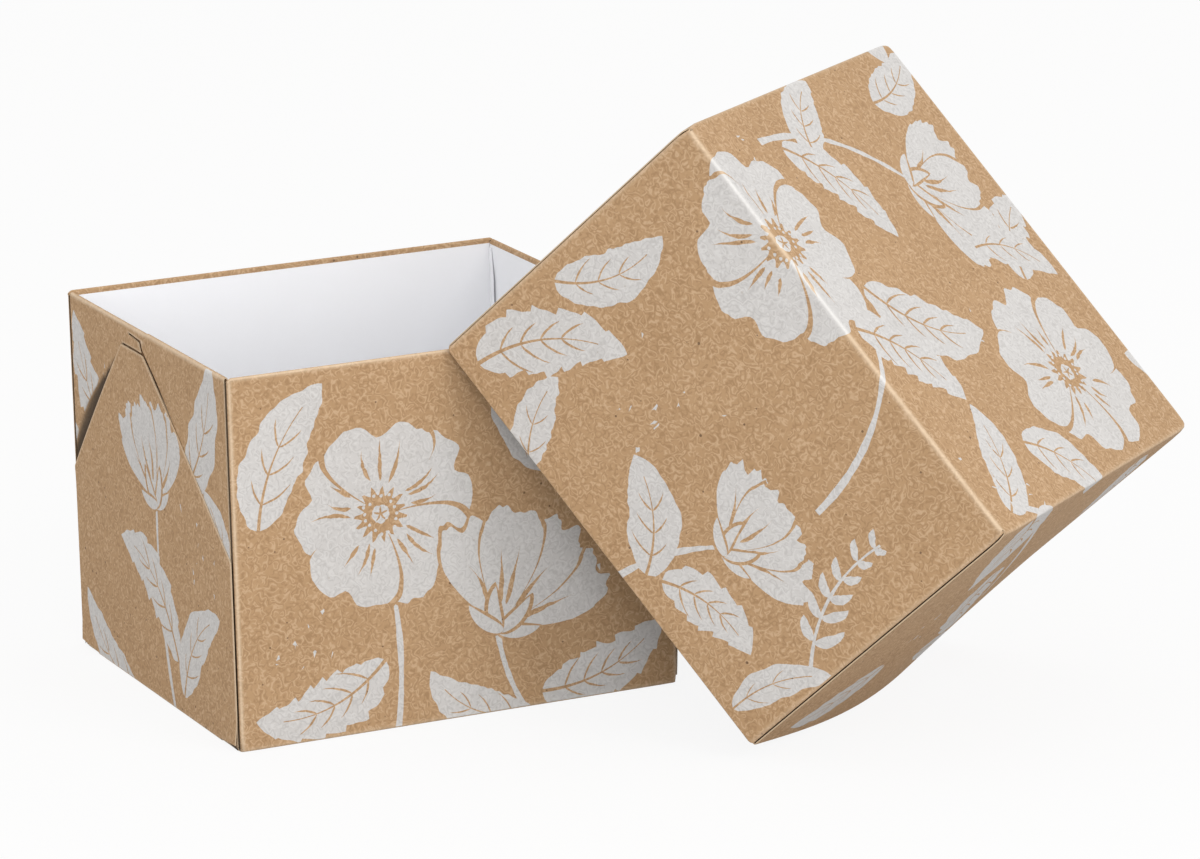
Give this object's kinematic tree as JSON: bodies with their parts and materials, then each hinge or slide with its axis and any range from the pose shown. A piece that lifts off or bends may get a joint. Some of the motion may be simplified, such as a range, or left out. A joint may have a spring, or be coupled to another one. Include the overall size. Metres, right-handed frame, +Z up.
{
  "type": "cardboard gift box with separate lid",
  "caption": "Folded cardboard gift box: an open base with rolled rims and, leant on its rim, the deep lid that slips over it.",
  "frame": {"origin": "middle of the base's underside, on the surface that the box stands on", "axes": "+Z up out of the base's mouth, +X along the front wall to the right, where the lid leans, and -Y towards the viewer, out of the front wall"},
  "size_m": [0.3917, 0.3807, 0.2587],
  "materials": {
    "printed_board": "matte",
    "white_lining": "matte"
  },
  "bodies": {
    "root": {"base": "printed_board", "lid": "printed_board"}
  },
  "joints": []
}
